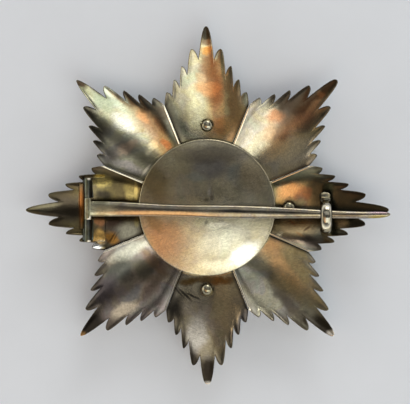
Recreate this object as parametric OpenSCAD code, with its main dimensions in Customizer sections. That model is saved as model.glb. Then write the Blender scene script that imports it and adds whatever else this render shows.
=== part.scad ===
// Breast star of an order, lying on its face with its back up.
// The origin is the centre of the star on the surface that it lies on, and +Y is the north ray.

/* [Star] */
// Diameter over the tips of two opposite rays
star_d = 85; // [80:1:90]
// Thickness of a ray's sheet
sheet_t = 0.65; // [0.5:0.05:0.7]
// Radius of the trough that each ray forms across its width
trough_r = 18; // [17:0.5:24]
// Height that a ray's tip stands above its root
dish_rise = 4.6; // [4:0.1:5]
// Height that the upper sheet's edge is lifted at a seam
over_lift = 0.3; // [0.2:0.05:0.35]
// Depth that the lower sheet's edge is pressed down at a seam
under_drop = 0.35; // [0.3:0.05:0.45]

/* [Back disc] */
// Diameter of the disc
disc_d = 32.3; // [30:0.1:33]
// Thickness of the disc
disc_t = 0.8; // [0.6:0.1:1]
// Rise of its dome
disc_dome = 1.2; // [0.6:0.1:1.3]

/* [Front medallion] */
// Diameter of the medallion
medallion_d = 43; // [42:0.5:46]
// Its thickness at the back of the rim
medallion_t = 3.4; // [3:0.1:4.5]
// Width of its flat rim
rim_w = 1.8; // [1.2:0.1:2.4]
// Width of the groove inside the rim
groove_w = 1.2; // [0.8:0.1:2]
// Depth of the groove
groove_deep = 0.8; // [0.4:0.1:1.2]

/* [Posts and nuts] */
// Radius of the circle that the posts stand on
post_ring_r = 19.4; // [19:0.1:20]
// Diameter of a post
post_d = 1.6; // [1.2:0.1:1.8]
// Diameter of a nut
nut_d = 3; // [2.8:0.1:3.4]
// Height of a nut
nut_h = 1.6; // [1.4:0.1:2]

/* [Hinge] */
// Distance of the hinge's axis from the centre of the star
hinge_r = 28.05; // [27:0.05:29]
// Diameter of the knuckles
barrel_d = 1.65; // [1.5:0.05:1.8]
// Diameter of the hinge wire
wire_d = 0.8; // [0.6:0.05:0.9]
// Width of the soldered plate along the ray
plate_w = 6.05; // [5:0.05:6.5]
// Distance of the plate's middle from the axis, towards the centre of the star
plate_shift = 1.05; // [0:0.05:1.2]
// Length of the plate across the ray
plate_len = 15.1; // [14.5:0.1:15.4]
// Thickness of the plate over the sheet
plate_t = 0.6; // [0.4:0.05:0.8]
// Length across the ray of the plate's tongue beyond the knuckles, which stays clear of the teeth
tongue_len = 10.6; // [9.5:0.1:10.8]

/* [Pin] */
// Reach of the pin's tip from the centre of the star
pin_reach = 43; // [41:0.5:45]
// Angle that the pin rises at, from the hinge to the catch
pin_rise = 1.2; // [1.1:0.05:1.4]

/* [Catch] */
// Distance of the catch from the centre of the star
catch_x = 28.2; // [27:0.1:29]
// Width of the catch's strip
catch_w = 2.8; // [2.4:0.1:3.2]
// Thickness of the strip at its middle
catch_t = 1.1; // [0.9:0.05:1.2]
// Radius of the arch along the middle of the strip
catch_r = 3.45; // [3.3:0.05:3.6]

/* [Hidden] */
$fn = 48;

// Columns of RAYS: direction of the tip, its distance and that of the teeth against star_d / 2,
// and +1 or -1 where the sheet lies over or under its neighbour at its left and right seam
DIRECTION = 0;
TIP = 1;
TOOTH = 2;
LEFT = 3;
RIGHT = 4;
RAYS = [
    [-0.8, 1.006, 1.005, 1, 1],
    [44.4, 1.007, 1.005, 1, -1],
    [90.3, 1.003, 1.005, -1, -1],
    [135.7, 1.009, 1.005, -1, 1],
    [180.8, 1.003, 1.005, -1, 1],
    [225.4, 0.996, 1.000, 1, 1],
    [270.2, 0.979, 1.000, -1, -1],
    [314.7, 0.998, 1.002, -1, 1]
];
E = 0;
NE = 1;
N = 2;
NW = 3;
W = 4;
SW = 5;
S = 6;
SE = 7;

// Columns of TEETH: radius of the valley against the tip's, its angle against the seam's,
// and the same for the tooth that follows. The last row is the valley at the seam.
TEETH = [
    [0.822, 0.133, 0.878, 0.231],
    [0.744, 0.364, 0.792, 0.440],
    [0.683, 0.560, 0.728, 0.631],
    [0.644, 0.764, 0.672, 0.844]
];
SEAM_VALLEY = [0.616, 0.987];
// Swelling of a tooth's edge against its length, and steps along the edge
tooth_swell = 0.24;
edge_steps = 3;
// Angle that the upper sheet reaches past the middle of a seam
seam_shift = 0.4;
// Rows along a ray, from its root to its edge
ray_rows = 4;

// Radius where the sheets end under the disc, and where they start to rise
root_r = 12;
flat_r = 14;
// Width of the strip along a seam that is lifted or pressed down, and the slit between two sheets
lift_w = 2.5;
seam_gap = 0.03;
// Space between pieces that lie on each other, and round a post
gap = 0.1;
post_hole_d = post_d + 3 * gap;
tip_r = star_d / 2;
root_z = medallion_t + gap + sheet_t;

// Height of a ray's back at u along the ray and v across it; half is the angle to its seam
function rise(u) = dish_rise * pow(max(0, u - flat_r) / (tip_r - flat_r), 2);
function trough(v) = trough_r - sqrt(trough_r * trough_r - v * v);
function seam_dist(u, v, half) = u * sin(half) - abs(v) * cos(half);
function lift(side) = side > 0 ? over_lift : -under_drop;
function edge_lift(u, v, half, side) =
    lift(side) * pow(max(0, 1 - seam_dist(u, v, half) / lift_w), 2);
function back_z(u, v, half, side) = root_z + rise(u) + trough(v) + edge_lift(u, v, half, side);

function polar(r, a) = [r * cos(a), r * sin(a)];
function flat(lists) = [for (l = lists) each l];

// Corners of half an outline, from the tip to the seam
function corners(tip, tooth, half) = concat(
    [polar(tip, 0)],
    flat([for (t = TEETH) [polar(tooth * t[0], half * t[1]), polar(tooth * t[2], half * t[3])]]),
    [polar(tooth * SEAM_VALLEY[0], half * SEAM_VALLEY[1])]
);
function edge_point(a, b, s) = [
    a[0] + (b[0] - a[0]) * s + 4 * tooth_swell * abs(b[0] - a[0]) * s * (1 - s),
    a[1] + (b[1] - a[1]) * s
];
function edge(tip, tooth, half) =
    let (c = corners(tip, tooth, half))
    concat(
        flat([for (i = [0 : len(c) - 2]) [
            for (k = [0 : edge_steps - 1]) edge_point(c[i], c[i + 1], k / edge_steps)
        ]]),
        [c[len(c) - 1]]
    );

// Angle between a ray and its next neighbour to the left, halved
function half_angle(i) =
    let (turn = RAYS[(i + 1) % 8][DIRECTION] - RAYS[i][DIRECTION])
    (turn < 0 ? turn + 360 : turn) / 2;
function left_seam(i) = half_angle(i) + seam_shift * RAYS[i][LEFT];
function right_seam(i) = half_angle((i + 7) % 8) + seam_shift * RAYS[i][RIGHT];

// One cut through a ray at v: along the back from the root to the edge, then under it
function ray_cut(outer_u, v, half, side) =
    let (
        inner_u = max(root_r, (abs(v) * cos(half) + seam_gap) / sin(half)),
        us = [for (k = [0 : ray_rows]) inner_u + (outer_u - inner_u) * k / ray_rows]
    )
    concat(
        [for (u = us) [u, v, back_z(u, v, half, side)]],
        [for (k = [ray_rows : -1 : 0]) [us[k], v, back_z(us[k], v, half, side) - sheet_t]]
    );
function ray_cuts(i) =
    let (
        tip = tip_r * RAYS[i][TIP],
        tooth = tip_r * RAYS[i][TOOTH],
        right_edge = edge(tip, tooth, right_seam(i)),
        left_edge = edge(tip, tooth, left_seam(i))
    )
    concat(
        [for (k = [len(right_edge) - 1 : -1 : 1])
            ray_cut(right_edge[k][0], -right_edge[k][1], right_seam(i), RAYS[i][RIGHT])],
        [for (p = left_edge) ray_cut(p[0], p[1], left_seam(i), RAYS[i][LEFT])]
    );

// Triangles across a ring of n points, between its two halves
function cap(n) = flat([for (k = [0 : n / 2 - 2]) [[k, k + 1, n - 2 - k], [k, n - 2 - k, n - 1 - k]]]);

// A solid through rings of equal, even length, closed at both ends
module loft(rings) {
    n = len(rings[0]);
    last = len(rings) - 1;
    polyhedron(
        points = flat(rings),
        faces = concat(
            cap(n),
            [for (t = cap(n)) [for (k = [2 : -1 : 0]) last * n + t[k]]],
            flat([for (j = [0 : last - 1]) flat([for (k = [0 : n - 1])
                let (a = j * n + k, b = j * n + (k + 1) % n)
                [[a, a + n, b], [b, a + n, b + n]]
            ])])
        ),
        convexity = 6
    );
}

module ray_sheet(i) {
    rotate([0, 0, RAYS[i][DIRECTION]]) loft(ray_cuts(i));
}

module drilled_ray(i, post_angle) {
    difference() {
        ray_sheet(i);
        rotate([0, 0, post_angle])
            translate([post_ring_r, 0, 0])
                cylinder(d = post_hole_d, h = root_z + dish_rise);
    }
}

// Columns of PIN, a row for each section: place between hinge and tip,
// distance of the middle from y = 0, width, thickness
PIN = [
    [0.008, -0.32, 3.60, 0.90],
    [0.060, -0.34, 3.50, 0.92],
    [0.115, -0.40, 3.30, 0.98],
    [0.215, -0.61, 2.90, 1.05],
    [0.320, -0.84, 2.76, 1.10],
    [0.420, -1.02, 3.05, 1.10],
    [0.530, -1.12, 2.95, 1.08],
    [0.670, -1.31, 2.48, 1.10],
    [0.820, -1.63, 1.89, 1.28],
    [0.920, -1.75, 1.65, 1.25],
    [0.965, -1.70, 1.53, 1.10],
    [0.990, -1.62, 1.10, 0.80],
    [1.000, -1.60, 0.45, 0.35]
];
pin_sides = 14;
pin_t_at_catch = 1.28;
barrel_x = -hinge_r;
// The knuckles' outer ends are sunk a little into the plate
knuckle_sink = 0.15;
ray_z = root_z + rise(hinge_r);
hinge_z = ray_z + trough(plate_len / 2) + plate_t + barrel_d / 2 - knuckle_sink;
function pin_z(x) = hinge_z + (x - barrel_x) * tan(pin_rise);
// Running clearance round the wire
wire_gap = 0.04;
bore_d = wire_d + 2 * wire_gap;

// Knuckles along Y: the pin's lies between the two fixed ones
knuckle_gap = 0.05;
pin_knuckle_y = [-2.83, 2.24];
fixed_end_y = [-8.1, 6.9];

// A straight round bar along Y at the hinge's axis, between two values of y
module hinge_bar(d, ys) {
    translate([barrel_x, ys[0], hinge_z])
        rotate([-90, 0, 0])
            cylinder(d = d, h = ys[1] - ys[0]);
}

module fixed_knuckles() {
    hinge_bar(barrel_d, [fixed_end_y[0], pin_knuckle_y[0] - knuckle_gap]);
    hinge_bar(barrel_d, [pin_knuckle_y[1] + knuckle_gap, fixed_end_y[1]]);
}

// Plate that follows the trough, sunk a little into the sheet, and webs that carry the knuckles
plate_sink = 0.3;
plate_slope = atan(2 * dish_rise * (hinge_r - flat_r) / pow(tip_r - flat_r, 2));
web_w = 1.1;
web_inset = 0.4;
block_deep = 3;
// Place of the tongue's middle across the ray, and where the full plate ends under the knuckles
tongue_y = -0.8;
tongue_x = 0.65;
// Round bar along the ray, whose underside is the trough at the hinge
module plate_bar(r) {
    rotate([0, -plate_slope, 0])
        translate([-plate_w, 0, trough_r])
            rotate([0, 90, 0])
                cylinder(r = r, h = 2 * plate_w, $fn = 96);
}
module plate_block(ends, len, y) {
    translate([ends[0], y - len / 2, -block_deep]) cube([ends[1] - ends[0], len, 3 * block_deep]);
}
module knuckle_web(ys) {
    translate([-web_w / 2, ys[0], -block_deep])
        cube([web_w, ys[1] - ys[0], hinge_z - ray_z + block_deep]);
}
module hinge_plate() {
    translate([barrel_x, 0, ray_z])
        intersection() {
            rotate([0, 0, RAYS[W][DIRECTION]]) plate_bar(trough_r + plate_sink);
            union() {
                difference() {
                    rotate([0, 0, RAYS[W][DIRECTION]]) {
                        plate_block([-plate_w / 2 - plate_shift, tongue_x], plate_len, 0);
                        plate_block([0, plate_w / 2 - plate_shift], tongue_len, tongue_y);
                    }
                    rotate([0, 0, RAYS[W][DIRECTION]]) plate_bar(trough_r - plate_t);
                }
                knuckle_web([fixed_end_y[0] + web_inset, pin_knuckle_y[0] - knuckle_gap]);
                knuckle_web([pin_knuckle_y[1] + knuckle_gap, fixed_end_y[1] - web_inset]);
            }
        }
}

// Catch: a strip with a half-round back, from its leg, sunk in the sheet, over the arch to the lip
leg_len = 1.65;
lip_r = 0.9;
lip_len = 0.3;
arch_y = -2.2;
arch_clear = 0.3;
arch_z = pin_z(catch_x) + pin_t_at_catch / 2 + arch_clear - catch_r + catch_t / 2;
strip_sides = 8;
// A point of an arc around c, where the strip heads at angle h and turns left (+1) or right (-1)
function arc_point(c, r, h, turn) = [c[0] + turn * r * sin(h), c[1] - turn * r * cos(h), h];
lip_h = [-72, 80];
lip_c = [
    arch_y - (catch_r + lip_r) * sin(lip_h[0]),
    arch_z + (catch_r + lip_r) * cos(lip_h[0])
];
function catch_path() =
    let (end = arc_point(lip_c, lip_r, lip_h[1], 1))
    concat(
        [for (z = [leg_len, leg_len / 2]) [arch_y - catch_r, arch_z - z, 90]],
        [for (h = [90 : -16 : -54]) arc_point([arch_y, arch_z], catch_r, h, -1)],
        [for (h = [lip_h[0] : 19 : lip_h[1]]) arc_point(lip_c, lip_r, h, 1)],
        [[end[0] + lip_len * cos(end[2]), end[1] + lip_len * sin(end[2]), end[2]]]
    );
function strip_ring(p) = [
    for (k = [0 : strip_sides - 1])
        let (a = 180 * k / (strip_sides - 1), n = catch_t * (sin(a) - 0.5))
        [catch_x - catch_w / 2 * cos(a), p[0] - n * sin(p[2]), p[1] + n * cos(p[2])]
];

module catch_hook() {
    loft([for (p = catch_path()) strip_ring(p)]);
}

module plain_ray(i) {
    color("#a39c8d") ray_sheet(i);
}
module ray_n() {
    color("#b3a588") drilled_ray(N, 90);
}
module ray_s() {
    color("#8f8877") drilled_ray(S, 270);
}
module ray_e_with_catch() {
    color("#8a7c64") drilled_ray(E, 0);
    color("#d2d2cc") catch_hook();
}
module ray_w_with_hinge() {
    color("#96845f") drilled_ray(W, 180);
    color("#7f8680")
        difference() {
            union() {
                hinge_plate();
                fixed_knuckles();
            }
            hinge_bar(bore_d, fixed_end_y * 1.2);
        }
}

// Disc over the roots, a thin dome that rests on the seams' ridges
disc_z = root_z + trough(disc_d / 2 * sin(22.5)) + over_lift + gap;
dome_r = (pow(disc_d / 2, 2) + pow(disc_dome, 2)) / (2 * disc_dome);
module back_disc() {
    color("#9b9486")
        translate([0, 0, disc_z + disc_t + disc_dome - dome_r])
            difference() {
                intersection() {
                    sphere(r = dome_r, $fn = 200);
                    translate([0, 0, dome_r - disc_dome - disc_t])
                        cylinder(d = disc_d, h = disc_t + disc_dome + 1, $fn = 128);
                }
                sphere(r = dome_r - disc_t, $fn = 200);
            }
}

// Plain centrepiece of the hidden front, with the posts that carry the nuts.
// A nut's flat underside clears the outer, rising side of its ray.
nut_z = root_z + rise(post_ring_r + nut_d / 2) + gap;
module front_medallion() {
    color("#a8a8a4") {
        difference() {
            cylinder(d = medallion_d, h = medallion_t, $fn = 128);
            difference() {
                translate([0, 0, -1])
                    cylinder(d = medallion_d - 2 * rim_w, h = groove_deep + 1, $fn = 128);
                translate([0, 0, -2])
                    cylinder(d = medallion_d - 2 * (rim_w + groove_w), h = medallion_t, $fn = 128);
            }
        }
        for (a = [0 : 90 : 270])
            rotate([0, 0, a])
                translate([post_ring_r, 0, medallion_t - 0.5])
                    cylinder(d = post_d, h = nut_z + nut_h / 2 - medallion_t + 0.5 - gap);
    }
}

// Domed spanner nut with a blind hole for its post and two notches in its side
notch_w = 0.5;
notch_deep = 0.45;
nut_dome_r = nut_d * 0.58;
module nut(post_angle, notch_angle) {
    color("#c9c7bd")
        rotate([0, 0, post_angle])
            translate([post_ring_r, 0, nut_z])
                difference() {
                    intersection() {
                        cylinder(d = nut_d, h = nut_h);
                        translate([0, 0, nut_h - nut_dome_r]) sphere(r = nut_dome_r);
                    }
                    translate([0, 0, -1]) cylinder(d = post_d + gap, h = nut_h / 2 + 1);
                    for (side = [0, 180])
                        rotate([0, 0, notch_angle - post_angle + side])
                            translate([nut_d / 2 - notch_deep, -notch_w / 2, -1])
                                cube([1, notch_w, nut_h + 2]);
                }
}

module hinge_wire() {
    color("#6d6f6c") hinge_bar(wire_d, fixed_end_y + [0.05, -0.05]);
}

function pin_ring(row) =
    let (x = barrel_x + row[0] * (hinge_r + pin_reach))
    [for (k = [0 : pin_sides - 1])
        let (a = 360 * k / pin_sides)
        [x, row[1] + row[2] / 2 * cos(a), pin_z(x) + row[3] / 2 * sin(a)]];

module pin() {
    color("#c6c4ba") {
        difference() {
            hinge_bar(barrel_d, pin_knuckle_y);
            hinge_bar(bore_d, pin_knuckle_y * 1.2);
        }
        loft([for (row = PIN) pin_ring(row)]);
    }
}

ray_n();
plain_ray(NE);  // ray_ne
ray_e_with_catch();
plain_ray(SE);  // ray_se
ray_s();
plain_ray(SW);  // ray_sw
ray_w_with_hinge();
plain_ray(NW);  // ray_nw
back_disc();
front_medallion();
nut(90, -23);  // nut_n
nut(0, -53);  // nut_e
nut(270, 28);  // nut_s
nut(180, 80);  // nut_w
hinge_wire();
pin();
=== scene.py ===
import math

import bpy
import numpy as np
from mathutils import Matrix, Vector, noise


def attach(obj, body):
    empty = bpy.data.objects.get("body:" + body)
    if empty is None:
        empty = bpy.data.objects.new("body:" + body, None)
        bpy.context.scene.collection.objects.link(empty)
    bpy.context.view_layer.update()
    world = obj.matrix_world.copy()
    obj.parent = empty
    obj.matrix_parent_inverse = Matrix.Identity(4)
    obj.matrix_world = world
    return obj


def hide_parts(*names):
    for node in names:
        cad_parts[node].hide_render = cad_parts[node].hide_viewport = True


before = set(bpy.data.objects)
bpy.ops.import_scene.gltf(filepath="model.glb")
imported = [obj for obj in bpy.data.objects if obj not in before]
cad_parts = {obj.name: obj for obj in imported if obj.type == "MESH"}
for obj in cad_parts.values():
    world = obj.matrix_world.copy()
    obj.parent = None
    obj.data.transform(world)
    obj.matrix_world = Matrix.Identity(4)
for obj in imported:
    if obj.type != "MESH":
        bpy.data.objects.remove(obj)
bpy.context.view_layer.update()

MM = 0.001
# Points closer than this are one point, in metres
MERGE = 2e-7

# The star's values, in millimetres and degrees; its main sizes are those of the solids
STAR_R = 42.5
SHEET_T = 0.65
TROUGH_R = 18.0
DISH_RISE = 4.6
OVER_LIFT = 0.3
UNDER_DROP = 0.35
ROOT_R = 12.0
FLAT_R = 14.0
LIFT_W = 2.5
SEAM_GAP = 0.03
SEAM_SHIFT = 0.4
MEDALLION_R = 21.5
MEDALLION_T = 3.4
GAP = 0.1
ROOT_Z = MEDALLION_T + GAP + SHEET_T

DISC_R = 16.15
DISC_T = 0.8
DISC_DOME = 1.2
# The disc's edge is burnished round by DISC_ROUND and turns down by DISC_LIP
DISC_ROUND = 0.32
DISC_LIP = 0.05
DISC_INSET = 0.1
POST_RING_R = 19.4
POST_R = 0.8
POST_SINK = 0.5
NUT_R = 1.5
NUT_H = 1.6
NUT_DOME_R = 2 * NUT_R * 0.58
NOTCH_W = 0.5
NOTCH_DEEP = 0.45
NUT_BEVEL = 0.035
# Directions of the posts from the star's centre, and how far each nut's notches are turned
POST_ANGLES = {"n": 90, "e": 0, "s": 270, "w": 180}
NOTCH_TURNS = {"n": -23, "e": -53, "s": 28, "w": 80}

HINGE_R = 28.05
BARREL_R = 0.825
BORE_R = 0.44
WIRE_R = 0.4
PLATE_W = 6.05
PLATE_SHIFT = 1.05
PLATE_LEN = 15.1
PLATE_T = 0.6
TONGUE_LEN = 10.6
TONGUE_Y = -0.8
TONGUE_X = 0.65
KNUCKLE_SINK = 0.15
KNUCKLE_GAP = 0.05
PIN_KNUCKLE_Y = (-2.83, 2.24)
FIXED_END_Y = (-8.1, 6.9)
WIRE_SHORT = 0.05
SOLDER_SHORT = 0.4
# Half widths of the solder under a knuckle, at its foot and at the barrel
SOLDER_FOOT = 1.25
SOLDER_NECK = 0.65
# The plate's edge towards -Y is filed round by PLATE_ROUND, and the one towards +Y is soldered flush
PLATE_ROUND = 0.2
PLATE_FLUSH = 0.04
PLATE_SINK = 0.25
PLATE_RIM = (0, 0.03, 0.08, 0.16, 0.3)
COLUMN_APART = 0.004

PIN_REACH = 43.0
PIN_RISE = 1.2
PIN_T_AT_CATCH = 1.28
CATCH_X = 28.2
CATCH_W = 2.8
CATCH_T = 1.1
CATCH_R = 3.45
LEG_LEN = 1.65
LIP_R = 0.9
LIP_LEN = 0.3
LIP_START = 72
LIP_END = 80
ARCH_Y = -2.2
ARCH_CLEAR = 0.3
# How far the arch stands in from the catch's place, how much further its lip does, and how much narrower
# the lip gets
CATCH_IN = 0.2
LIP_IN = 0.35
LIP_NARROW = 0.1
LIP_STEPS = 25
# Heights of the strip's half-round back and of its slightly swollen flat, against its thickness
BACK_RISE = 0.92
FLAT_DROP = 0.42
FLAT_SWELL = 0.08
# The lip's filed end: how far out each cut is, and its thickness against the strip's
LIP_END_CUTS = ((0.04, 1.22), (0.12, 1.2), (0.17, 1.06), (0.18, 0.9))

# Each ray: direction of its tip, reach of the tip and of the teeth against STAR_R,
# and +1 or -1 where it lies over or under its neighbour at its left and right seam
RAYS = {
    "e": (-0.8, 1.006, 1.005, 1, 1),
    "ne": (44.4, 1.007, 1.005, 1, -1),
    "n": (90.3, 1.003, 1.005, -1, -1),
    "nw": (135.7, 1.009, 1.005, -1, 1),
    "w": (180.8, 1.003, 1.005, -1, 1),
    "sw": (225.4, 0.996, 1.000, 1, 1),
    "s": (270.2, 0.979, 1.000, -1, -1),
    "se": (314.7, 0.998, 1.002, -1, 1),
}
RING_OF_RAYS = list(RAYS)
# Valley and tooth that follow each other from the tip to the seam: radius and share of the seam's angle
TEETH = ((0.822, 0.133, 0.878, 0.231), (0.744, 0.364, 0.792, 0.440),
         (0.683, 0.560, 0.728, 0.631), (0.644, 0.764, 0.672, 0.844))
SEAM_VALLEY = (0.616, 0.987)
FLANK_STEPS = 8
FLANK_SLOPE_MOST = 5
# How full the leaf of a tooth is on its inner and outer flank, and how blunt each tip is
INNER_FULL = 2.2
OUTER_FULL = 2.9
TIP_FULL = {"e": 2.4, "ne": 2.8, "n": 2.4, "nw": 1.9, "w": 2.1, "sw": 1.9, "s": 3.2, "se": 2.6}
SHEET_ROWS = 26
# How dark the teeth of each ray are, left and right of its tip, and the tip itself
TOOTH_DARKNESS = {
    "e": (0.75, 0.7, 0.5), "ne": (0.85, 0.65, 0.3), "n": (0.1, 0.7, 0.0), "nw": (0.85, 0.75, 0.0),
    "w": (0.5, 0.6, 0.3), "sw": (0.6, 0.75, 0.95), "s": (0.6, 0.95, 0.7), "se": (0.35, 0.5, 0.7),
}
# How strong the painted highlight on the filed slope of a seam is, at the left and the right of a ray
SEAM_HIGHLIGHT_STRENGTH = {"sw": (0.3, 1.0)}
# Distances from a sheet's edge, which is filed round over RIM_W; each tooth is dished inside its raised edge
RIM = (0, 0.02, 0.06, 0.12, 0.2, 0.34, 0.46)
RIM_W = 0.24
SEAM_RIM_W = 0.44
DISH_W = 1.1
DISH_RAISE = 0.14
# Which part of a seam's edge may be filed, and where the painted highlight on its slope and the
# painted shadow line beside it fade out
FILED_BAND = 2
SHINE_W = 0.46
SHINE_FADE = 0.1
LINE_W = 0.9
LINE_FADE = 0.7
# The teeth's dark starts a little inside their valleys and is full after TOOTH_FADE of STAR_R
TOOTH_FADE = 0.05
TOOTH_START = 0.25
TIP_VALLEY_OUT = 0.03
# Hand-worked metal has long waves with shorter ripples on them
WAVE_H = 0.05
RIPPLE_H = 0.012

# The pin from the hinge to its tip: place, middle, width, thickness, and squareness of its section
PIN = (
    (0.001, -0.31, 3.40, 1.30, 3.6), (0.012, -0.32, 3.60, 1.02, 3.6), (0.030, -0.33, 3.56, 0.90, 3.4),
    (0.060, -0.34, 3.50, 0.92, 3.2), (0.115, -0.40, 3.30, 0.98, 2.5), (0.215, -0.61, 2.90, 1.05, 2.1),
    (0.320, -0.84, 2.76, 1.10, 2.0), (0.420, -1.02, 3.05, 1.10, 2.0), (0.530, -1.12, 2.95, 1.08, 2.0),
    (0.670, -1.31, 2.48, 1.10, 2.0), (0.820, -1.63, 1.89, 1.28, 2.0), (0.920, -1.75, 1.65, 1.25, 2.0),
    (0.965, -1.70, 1.53, 1.10, 2.1), (0.990, -1.62, 1.10, 0.80, 2.2), (1.000, -1.60, 0.45, 0.35, 2.2),
)
PIN_STATIONS = 90
PIN_AROUND = 56
# The root's middle and half width, and from where along the pin its sides are rubbed too
PIN_ROOT_Y = -0.33
PIN_ROOT_HALF = 1.76
PIN_ROOT_LEN = 4


def rise(u):
    return DISH_RISE * np.maximum(0, (u - FLAT_R) / (STAR_R - FLAT_R)) ** 2


def trough(v, radius=TROUGH_R):
    return TROUGH_R - np.sqrt(radius ** 2 - v * v)


HINGE_SLOPE = math.atan(2 * DISH_RISE * (HINGE_R - FLAT_R) / (STAR_R - FLAT_R) ** 2)
RAY_Z = ROOT_Z + float(rise(HINGE_R))
HINGE_Z = RAY_Z + float(trough(PLATE_LEN / 2)) + PLATE_T + BARREL_R - KNUCKLE_SINK
NUT_Z = ROOT_Z + float(rise(POST_RING_R + NUT_R)) + GAP
DISC_Z = ROOT_Z + float(trough(DISC_R * math.sin(math.pi / len(RAYS)))) + OVER_LIFT + GAP


def pin_z(x):
    return HINGE_Z + (x + HINGE_R) * math.tan(math.radians(PIN_RISE))


def select_only(piece):
    bpy.ops.object.select_all(action="DESELECT")
    piece.select_set(True)
    bpy.context.view_layer.objects.active = piece


def close_up(piece):
    """Merges what meets and turns all faces outwards."""
    select_only(piece)
    bpy.ops.object.mode_set(mode="EDIT")
    bpy.ops.mesh.select_all(action="SELECT")
    bpy.ops.mesh.remove_doubles(threshold=MERGE)
    bpy.ops.mesh.normals_make_consistent(inside=False)
    bpy.ops.object.mode_set(mode="OBJECT")


def smooth(piece, angle=40):
    select_only(piece)
    bpy.ops.object.shade_smooth_by_angle(angle=math.radians(angle))
    return piece


def swept(name, rings):
    """A solid through closed rings of points in millimetres: a grid is laid along the rings and closed up."""
    bpy.ops.object.select_all(action="DESELECT")
    along, around = len(rings) - 1, len(rings[0])
    bpy.ops.mesh.primitive_grid_add(x_subdivisions=along, y_subdivisions=around, size=2, location=(0, 0, 0))
    piece = bpy.context.object
    piece.name = name
    for vertex in piece.data.vertices:
        i = round((vertex.co.x + 1) / 2 * along)
        j = round((vertex.co.y + 1) / 2 * around)
        vertex.co = Vector(rings[i][j % around]) * MM
    close_up(piece)
    return piece


def pointed(ring):
    """A ring of the same length at the middle of this one, which closes a swept solid's end."""
    middle = sum((Vector(p) for p in ring), Vector()) / len(ring)
    return [middle] * len(ring)


def capped(name, rings):
    """A swept solid whose two ends are closed at their middles."""
    return swept(name, [pointed(rings[0])] + rings + [pointed(rings[-1])])


def spun(name, profile, middle, along="Z", steps=96):
    """A round solid: a profile of (radius, height) is drawn as edges and spun once round its axis."""
    lift = Vector((0, 0, 1)) if along == "Z" else Vector((0, 1, 0))
    points = [(Vector(middle) + Vector((r, 0, 0)) + lift * h) * MM for r, h in profile]
    mesh = bpy.data.meshes.new(name)
    mesh.from_pydata(points, [(k, k + 1) for k in range(len(points) - 1)], [])
    piece = bpy.data.objects.new(name, mesh)
    bpy.context.scene.collection.objects.link(piece)
    select_only(piece)
    bpy.ops.object.mode_set(mode="EDIT")
    bpy.ops.mesh.select_all(action="SELECT")
    bpy.ops.mesh.spin(steps=steps, angle=2 * math.pi, center=Vector(middle) * MM, axis=lift)
    bpy.ops.object.mode_set(mode="OBJECT")
    close_up(piece)
    return piece


def rounded(corners, radius, steps=3):
    """A profile with its inner corners rounded."""
    out = [corners[0]]
    for a, b, c in zip(corners, corners[1:], corners[2:]):
        a, b, c = Vector(a), Vector(b), Vector(c)
        r = min(radius, (a - b).length * 0.45, (c - b).length * 0.45)
        start, end = b + (a - b).normalized() * r, b + (c - b).normalized() * r
        for k in range(steps + 1):
            t = k / steps
            out.append(tuple(start * (1 - t) ** 2 + b * (2 * t * (1 - t)) + end * t ** 2))
    return out + [corners[-1]]


def note(piece, name, values):
    """Writes one number for each point of a piece, which its finish reads."""
    layer = piece.data.attributes.new(name, "FLOAT", "POINT")
    layer.data.foreach_set("value", np.asarray(values, dtype=np.float32))


def points_of(piece):
    place = np.zeros(len(piece.data.vertices) * 3)
    piece.data.vertices.foreach_get("co", place)
    return place.reshape(-1, 3) / MM


def hand_waves(x, y, size, seed):
    """Soft unevenness of hand-worked metal, from -1 to 1, with waves of about size millimetres."""
    return noise.noise(Vector((x / size + seed, y / size - seed, seed * 0.37)))


def hammered(x, y, wave, ripple, wave_seed, ripple_seed):
    """Height of hand-worked metal at a place; wave and ripple are their lengths in millimetres."""
    return WAVE_H * hand_waves(x, y, wave, wave_seed) + RIPPLE_H * hand_waves(x, y, ripple, ripple_seed)


# Rays

def polar(r, a):
    return r * math.cos(a), r * math.sin(a)


def from_ray(along, across, turn):
    """A place along and across a ray as x and y of the star."""
    x = along * math.cos(turn) - across * math.sin(turn)
    y = along * math.sin(turn) + across * math.cos(turn)
    return x, y


def to_ray(piece, turn):
    """The points of a piece, along and across a ray."""
    back = np.array([[math.cos(turn), -math.sin(turn)], [math.sin(turn), math.cos(turn)]])
    return points_of(piece)[:, :2] @ back


def half_edge(reach, tooth_reach, seam, tip_full):
    """From the tip to the seam along one side's teeth: place along the ray and across it, and slope."""
    corners = [(STAR_R * reach, 0.0)]
    for valley_r, valley_a, tooth_r, tooth_a in TEETH:
        corners.append(polar(STAR_R * tooth_reach * valley_r, seam * valley_a))
        corners.append(polar(STAR_R * tooth_reach * tooth_r, seam * tooth_a))
    corners.append(polar(STAR_R * tooth_reach * SEAM_VALLEY[0], seam * SEAM_VALLEY[1]))
    points = []
    for (u0, v0), (u1, v1) in zip(corners, corners[1:]):
        for k in range(FLANK_STEPS):
            s = (1 - math.cos(math.pi * k / FLANK_STEPS)) / 2
            if u1 > u0:
                share = 1 - (1 - s) ** INNER_FULL
                rate = INNER_FULL * (1 - s) ** (INNER_FULL - 1)
            else:
                full = tip_full if v0 == 0 else OUTER_FULL
                share = s ** full
                rate = full * s ** (full - 1)
            slope = (u1 - u0) * rate / (v1 - v0)
            points.append((u0 + (u1 - u0) * share, v0 + (v1 - v0) * s, slope))
    points.append((*corners[-1], slope))
    return points


def half_angle(k):
    """Half the angle from one ray's tip to the next one's."""
    count = len(RING_OF_RAYS)
    turn = RAYS[RING_OF_RAYS[(k + 1) % count]][0] - RAYS[RING_OF_RAYS[k % count]][0]
    return math.radians(turn % 360) / 2


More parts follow.
